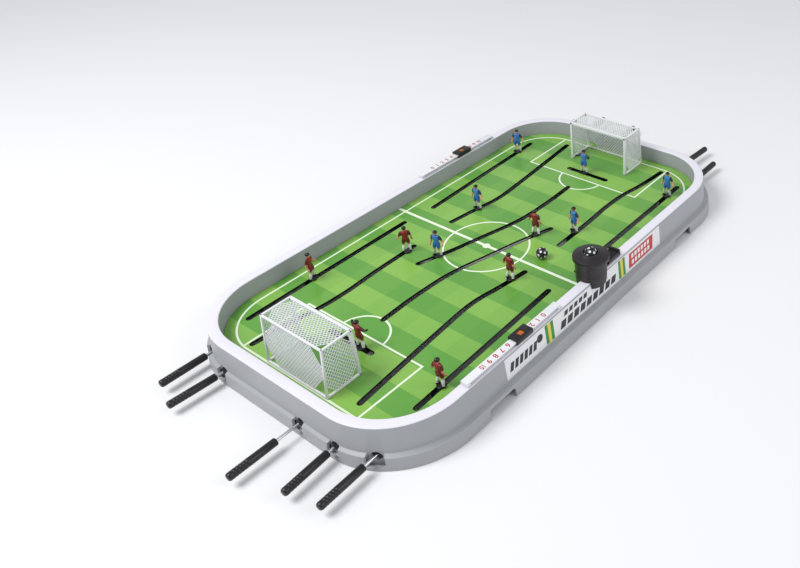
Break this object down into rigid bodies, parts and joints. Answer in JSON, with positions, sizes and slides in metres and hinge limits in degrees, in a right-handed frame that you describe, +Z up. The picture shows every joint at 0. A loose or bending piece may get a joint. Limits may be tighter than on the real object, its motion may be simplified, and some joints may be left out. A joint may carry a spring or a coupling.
{
  "type": "tabletop rod soccer game",
  "caption": "Tabletop soccer game with a slotted pitch, players turned and pushed by end rods, net goals, score rails and a kick-off ball holder.",
  "frame": {"origin": "middle of the footprint, on the table that the game stands on", "axes": "+X from the red team's end to the blue team's end, +Y to the red team's left, +Z up"},
  "size_m": [0.7506, 0.3435, 0.08],
  "materials": {
    "black": "smooth black moulding",
    "blue": "painted moulding",
    "grey": "dull grey moulding",
    "pitch": "printed green board",
    "red": "painted moulding",
    "rim": "satin grey moulding",
    "steel": "bright drawn wire rod",
    "white": "white moulding"
  },
  "bodies": {
    "arena": {"arena_rim": "rim", "pitch_board": "pitch", "red_goal": "white", "blue_goal": "white", "score_rail_near": "white", "score_rail_far": "white", "kickoff_holder": "black", "kickoff_ball": "black", "match_ball": "black"},
    "red_left_wing_slide": {"red_left_wing_carriage": "grey"},
    "red_left_wing_rod": {"red_left_wing_rod": "steel", "red_left_wing_grip": "black"},
    "red_left_wing_figure": {"red_left_wing_player": "red"},
    "red_left_half_slide": {"red_left_half_carriage": "grey"},
    "red_left_half_rod": {"red_left_half_rod": "steel", "red_left_half_grip": "black"},
    "red_left_half_figure": {"red_left_half_player": "red"},
    "red_left_half_bush": {"red_left_half_bush": "black"},
    "red_centre_slide": {"red_centre_carriage": "grey"},
    "red_centre_rod": {"red_centre_rod": "steel", "red_centre_grip": "black"},
    "red_centre_figure": {"red_centre_player": "red"},
    "red_centre_bush": {"red_centre_bush": "black"},
    "red_right_half_slide": {"red_right_half_carriage": "grey"},
    "red_right_half_rod": {"red_right_half_rod": "steel", "red_right_half_grip": "black"},
    "red_right_half_figure": {"red_right_half_player": "red"},
    "red_right_half_bush": {"red_right_half_bush": "black"},
    "red_right_wing_slide": {"red_right_wing_carriage": "grey"},
    "red_right_wing_rod": {"red_right_wing_rod": "steel", "red_right_wing_grip": "black"},
    "red_right_wing_figure": {"red_right_wing_player": "red"},
    "red_keeper": {"red_keeper_player": "red"},
    "blue_left_wing_slide": {"blue_left_wing_carriage": "grey"},
    "blue_left_wing_rod": {"blue_left_wing_rod": "steel", "blue_left_wing_grip": "black"},
    "blue_left_wing_figure": {"blue_left_wing_player": "blue"},
    "blue_left_half_slide": {"blue_left_half_carriage": "grey"},
    "blue_left_half_rod": {"blue_left_half_rod": "steel", "blue_left_half_grip": "black"},
    "blue_left_half_figure": {"blue_left_half_player": "blue"},
    "blue_left_half_bush": {"blue_left_half_bush": "black"},
    "blue_centre_slide": {"blue_centre_carriage": "grey"},
    "blue_centre_rod": {"blue_centre_rod": "steel", "blue_centre_grip": "black"},
    "blue_centre_figure": {"blue_centre_player": "blue"},
    "blue_centre_bush": {"blue_centre_bush": "black"},
    "blue_right_half_slide": {"blue_right_half_carriage": "grey"},
    "blue_right_half_rod": {"blue_right_half_rod": "steel", "blue_right_half_grip": "black"},
    "blue_right_half_figure": {"blue_right_half_player": "blue"},
    "blue_right_half_bush": {"blue_right_half_bush": "black"},
    "blue_right_wing_slide": {"blue_right_wing_carriage": "grey"},
    "blue_right_wing_rod": {"blue_right_wing_rod": "steel", "blue_right_wing_grip": "black"},
    "blue_right_wing_figure": {"blue_right_wing_player": "blue"},
    "blue_keeper": {"blue_keeper_player": "blue"},
    "score_marker_near": {"score_marker_near": "black"},
    "score_marker_far": {"score_marker_far": "black"},
    "kickoff_gate": {"kickoff_gate": "black"}
  },
  "joints": [
    {"name": "red_left_wing_push", "type": "slide", "parent": "arena", "child": "red_left_wing_slide", "axis": [1, 0, 0], "range_m": [-0.0825, 0.052]},
    {"name": "red_left_wing_turn", "type": "hinge", "parent": "red_left_wing_slide", "child": "red_left_wing_rod", "pos_m": [-0.158, 0.1195, 0.012], "axis": [1, 0, 0], "continuous": true},
    {"name": "red_left_wing_spin", "type": "hinge", "parent": "red_left_wing_slide", "child": "red_left_wing_figure", "pos_m": [-0.158, 0.1195, 0.012], "axis": [0, 0, 1], "continuous": true},
    {"name": "red_left_half_swivel", "type": "hinge", "parent": "arena", "child": "red_left_half_bush", "pos_m": [-0.295, 0.083, 0.012], "axis": [0, 0, 1], "range_deg": [-3.65, 0.32]},
    {"name": "red_left_half_push", "type": "slide", "parent": "red_left_half_bush", "child": "red_left_half_slide", "axis": [0.9984, -0.0574, 0], "range_m": [-0.20166, 0.00647]},
    {"name": "red_left_half_turn", "type": "hinge", "parent": "red_left_half_slide", "child": "red_left_half_rod", "pos_m": [-0.061, 0.06954, 0.012], "axis": [0.9984, -0.0574, 0], "continuous": true},
    {"name": "red_left_half_spin", "type": "hinge", "parent": "red_left_half_slide", "child": "red_left_half_figure", "pos_m": [-0.061, 0.06954, 0.012], "axis": [0, 0, 1], "continuous": true},
    {"name": "red_centre_swivel", "type": "hinge", "parent": "arena", "child": "red_centre_bush", "pos_m": [-0.295, -0.036, 0.012], "axis": [0, 0, 1], "range_deg": [-1.52, 14]},
    {"name": "red_centre_push", "type": "slide", "parent": "red_centre_bush", "child": "red_centre_slide", "axis": [1, 0.0043, 0], "range_m": [-0.2084, 0.01956]},
    {"name": "red_centre_turn", "type": "hinge", "parent": "red_centre_slide", "child": "red_centre_rod", "pos_m": [0.051, -0.03453, 0.012], "axis": [1, 0.0043, 0], "continuous": true},
    {"name": "red_centre_spin", "type": "hinge", "parent": "red_centre_slide", "child": "red_centre_figure", "pos_m": [0.051, -0.03453, 0.012], "axis": [0, 0, 1], "continuous": true},
    {"name": "red_right_half_swivel", "type": "hinge", "parent": "arena", "child": "red_right_half_bush", "pos_m": [-0.295, -0.085, 0.012], "axis": [0, 0, 1], "range_deg": [-0.49, 9.77]},
    {"name": "red_right_half_push", "type": "slide", "parent": "red_right_half_bush", "child": "red_right_half_slide", "axis": [0.9975, 0.0704, 0], "range_m": [-0.22102, 0.0063]},
    {"name": "red_right_half_turn", "type": "hinge", "parent": "red_right_half_slide", "child": "red_right_half_rod", "pos_m": [-0.034, -0.06659, 0.012], "axis": [0.9975, 0.0704, 0], "continuous": true},
    {"name": "red_right_half_spin", "type": "hinge", "parent": "red_right_half_slide", "child": "red_right_half_figure", "pos_m": [-0.034, -0.06659, 0.012], "axis": [0, 0, 1], "continuous": true},
    {"name": "red_right_wing_push", "type": "slide", "parent": "arena", "child": "red_right_wing_slide", "axis": [0.9994, 0.0343, 0], "range_m": [-0.03252, 0.058]},
    {"name": "red_right_wing_turn", "type": "hinge", "parent": "red_right_wing_slide", "child": "red_right_wing_rod", "pos_m": [-0.198, -0.12037, 0.012], "axis": [0.9994, 0.0343, 0], "continuous": true},
    {"name": "red_right_wing_spin", "type": "hinge", "parent": "red_right_wing_slide", "child": "red_right_wing_figure", "pos_m": [-0.198, -0.12037, 0.012], "axis": [0, 0, 1], "continuous": true},
    {"name": "red_keeper_slide", "type": "slide", "parent": "arena", "child": "red_keeper", "axis": [0, 1, 0], "range_m": [-0.01, 0.042]},
    {"name": "blue_left_wing_push", "type": "slide", "parent": "arena", "child": "blue_left_wing_slide", "axis": [-1, 0, 0], "range_m": [-0.0255, 0.052]},
    {"name": "blue_left_wing_turn", "type": "hinge", "parent": "blue_left_wing_slide", "child": "blue_left_wing_rod", "pos_m": [0.215, -0.1195, 0.012], "axis": [-1, 0, 0], "continuous": true},
    {"name": "blue_left_wing_spin", "type": "hinge", "parent": "blue_left_wing_slide", "child": "blue_left_wing_figure", "pos_m": [0.215, -0.1195, 0.012], "axis": [0, 0, 1], "continuous": true},
    {"name": "blue_left_half_swivel", "type": "hinge", "parent": "arena", "child": "blue_left_half_bush", "pos_m": [0.295, -0.083, 0.012], "axis": [0, 0, 1], "range_deg": [-3.29, 0.68]},
    {"name": "blue_left_half_push", "type": "slide", "parent": "blue_left_half_bush", "child": "blue_left_half_slide", "axis": [-0.998, 0.0637, 0], "range_m": [-0.18071, 0.02742]},
    {"name": "blue_left_half_turn", "type": "hinge", "parent": "blue_left_half_slide", "child": "blue_left_half_rod", "pos_m": [0.082, -0.06941, 0.012], "axis": [-0.998, 0.0637, 0], "continuous": true},
    {"name": "blue_left_half_spin", "type": "hinge", "parent": "blue_left_half_slide", "child": "blue_left_half_figure", "pos_m": [0.082, -0.06941, 0.012], "axis": [0, 0, 1], "continuous": true},
    {"name": "blue_centre_swivel", "type": "hinge", "parent": "arena", "child": "blue_centre_bush", "pos_m": [0.295, 0.036, 0.012], "axis": [0, 0, 1], "range_deg": [-1.79, 13.74]},
    {"name": "blue_centre_push", "type": "slide", "parent": "blue_centre_bush", "child": "blue_centre_slide", "axis": [-1, -0.0089, 0], "range_m": [-0.20442, 0.02355]},
    {"name": "blue_centre_turn", "type": "hinge", "parent": "blue_centre_slide", "child": "blue_centre_rod", "pos_m": [-0.047, 0.03297, 0.012], "axis": [-1, -0.0089, 0], "continuous": true},
    {"name": "blue_centre_spin", "type": "hinge", "parent": "blue_centre_slide", "child": "blue_centre_figure", "pos_m": [-0.047, 0.03297, 0.012], "axis": [0, 0, 1], "continuous": true},
    {"name": "blue_right_half_swivel", "type": "hinge", "parent": "arena", "child": "blue_right_half_bush", "pos_m": [0.295, 0.085, 0.012], "axis": [0, 0, 1], "range_deg": [-1.43, 8.83]},
    {"name": "blue_right_half_push", "type": "slide", "parent": "blue_right_half_bush", "child": "blue_right_half_slide", "axis": [-0.9962, -0.0867, 0], "range_m": [-0.19928, 0.02804]},
    {"name": "blue_right_half_turn", "type": "hinge", "parent": "blue_right_half_slide", "child": "blue_right_half_rod", "pos_m": [0.056, 0.0642, 0.012], "axis": [-0.9962, -0.0867, 0], "continuous": true},
    {"name": "blue_right_half_spin", "type": "hinge", "parent": "blue_right_half_slide", "child": "blue_right_half_figure", "pos_m": [0.056, 0.0642, 0.012], "axis": [0, 0, 1], "continuous": true},
    {"name": "blue_right_wing_push", "type": "slide", "parent": "arena", "child": "blue_right_wing_slide", "axis": [-0.9994, -0.0343, 0], "range_m": [-0.02852, 0.058]},
    {"name": "blue_right_wing_turn", "type": "hinge", "parent": "blue_right_wing_slide", "child": "blue_right_wing_rod", "pos_m": [0.202, 0.12051, 0.012], "axis": [-0.9994, -0.0343, 0], "continuous": true},
    {"name": "blue_right_wing_spin", "type": "hinge", "parent": "blue_right_wing_slide", "child": "blue_right_wing_figure", "pos_m": [0.202, 0.12051, 0.012], "axis": [0, 0, 1], "continuous": true},
    {"name": "blue_keeper_slide", "type": "slide", "parent": "arena", "child": "blue_keeper", "axis": [0, -1, 0], "range_m": [-0.021, 0.031]},
    {"name": "score_near", "type": "slide", "parent": "arena", "child": "score_marker_near", "axis": [1, 0, 0], "range_m": [-0.062, 0.04]},
    {"name": "score_far", "type": "slide", "parent": "arena", "child": "score_marker_far", "axis": [1, 0, 0], "range_m": [-0.061, 0.041]},
    {"name": "kickoff_release", "type": "slide", "parent": "arena", "child": "kickoff_gate", "axis": [1, 0, 0], "range_m": [0, 0.017]}
  ],
  "couplings": [
    {"joint": "red_left_wing_spin", "follows": "red_left_wing_turn", "ratio": 1},
    {"joint": "red_left_half_swivel", "follows": "red_left_half_push", "rad_per_m": 0.298},
    {"joint": "red_left_half_spin", "follows": "red_left_half_turn", "ratio": 1},
    {"joint": "red_centre_swivel", "follows": "red_centre_push", "rad_per_m": -1.153},
    {"joint": "red_centre_spin", "follows": "red_centre_turn", "ratio": 1},
    {"joint": "red_right_half_swivel", "follows": "red_right_half_push", "rad_per_m": -0.754},
    {"joint": "red_right_half_spin", "follows": "red_right_half_turn", "ratio": 1},
    {"joint": "red_right_wing_spin", "follows": "red_right_wing_turn", "ratio": 1},
    {"joint": "blue_left_wing_spin", "follows": "blue_left_wing_turn", "ratio": 1},
    {"joint": "blue_left_half_swivel", "follows": "blue_left_half_push", "rad_per_m": 0.298},
    {"joint": "blue_left_half_spin", "follows": "blue_left_half_turn", "ratio": 1},
    {"joint": "blue_centre_swivel", "follows": "blue_centre_push", "rad_per_m": -1.153},
    {"joint": "blue_centre_spin", "follows": "blue_centre_turn", "ratio": 1},
    {"joint": "blue_right_half_swivel", "follows": "blue_right_half_push", "rad_per_m": -0.754},
    {"joint": "blue_right_half_spin", "follows": "blue_right_half_turn", "ratio": 1},
    {"joint": "blue_right_wing_spin", "follows": "blue_right_wing_turn", "ratio": 1}
  ]
}
